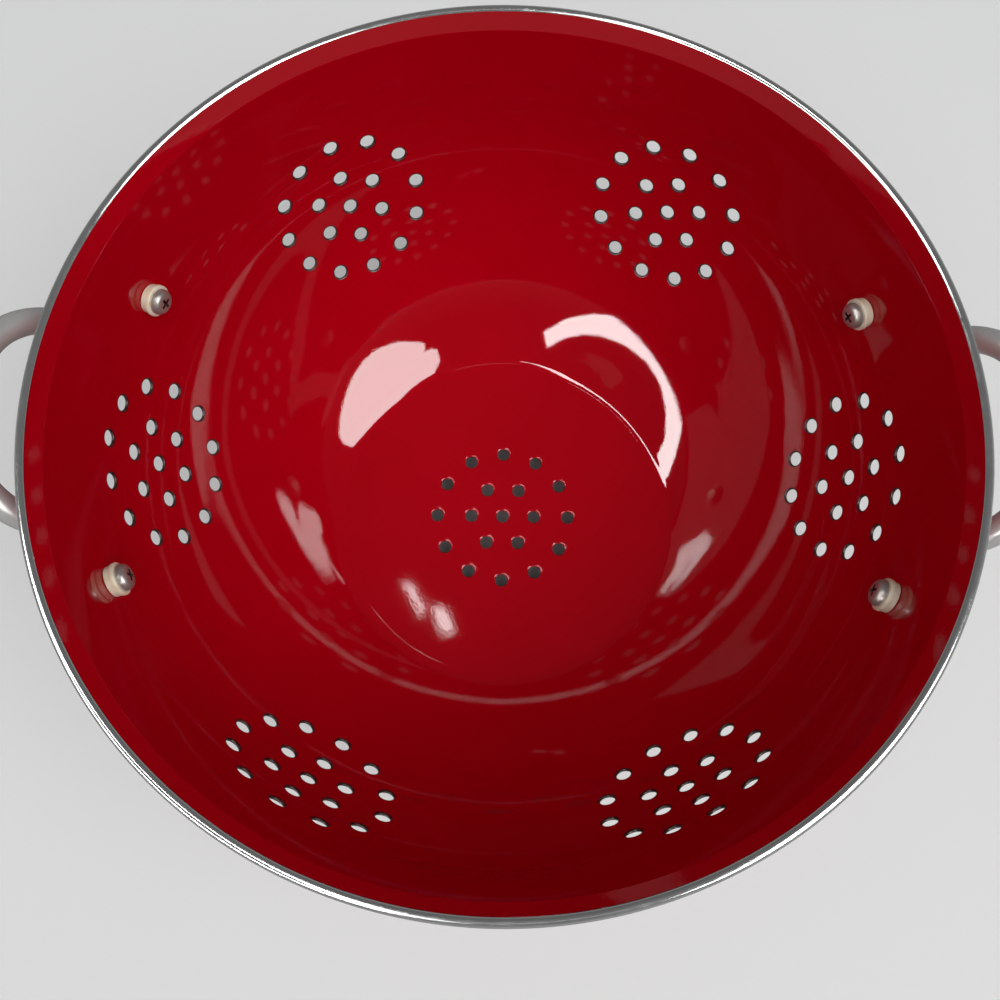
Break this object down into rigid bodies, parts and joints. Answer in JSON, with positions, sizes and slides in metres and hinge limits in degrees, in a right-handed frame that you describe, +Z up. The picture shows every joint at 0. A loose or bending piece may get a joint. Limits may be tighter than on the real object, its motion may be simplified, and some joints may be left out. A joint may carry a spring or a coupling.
{
  "type": "colander",
  "caption": "Footed round colander: enamelled steel bowl with clustered drain holes, a rolled steel rim and loop side handles screwed on.",
  "frame": {"origin": "on the floor, under the middle of the foot ring", "axes": "+Z up through the bowl's mouth, +X out along the right handle, -Y towards the viewer"},
  "size_m": [0.3116, 0.27, 0.139],
  "materials": {
    "enamel": "glossy red enamel",
    "rim_steel": "polished stainless",
    "handle_steel": "brushed stainless",
    "screw_steel": "plain stainless",
    "nylon": "cream nylon"
  },
  "bodies": {
    "root": {"bowl": "enamel", "foot_ring": "enamel", "rim_band": "rim_steel", "handle_right": "handle_steel", "handle_left": "handle_steel", "screw_right_back": "screw_steel", "screw_right_front": "screw_steel", "screw_left_back": "screw_steel", "screw_left_front": "screw_steel", "cap_nut_right_back": "screw_steel", "cap_nut_right_front": "screw_steel", "cap_nut_left_back": "screw_steel", "cap_nut_left_front": "screw_steel", "inner_washer_right_back": "nylon", "inner_washer_right_front": "nylon", "inner_washer_left_back": "nylon", "inner_washer_left_front": "nylon", "outer_washer_right_back": "nylon", "outer_washer_right_front": "nylon", "outer_washer_left_back": "nylon", "outer_washer_left_front": "nylon"}
  },
  "joints": []
}
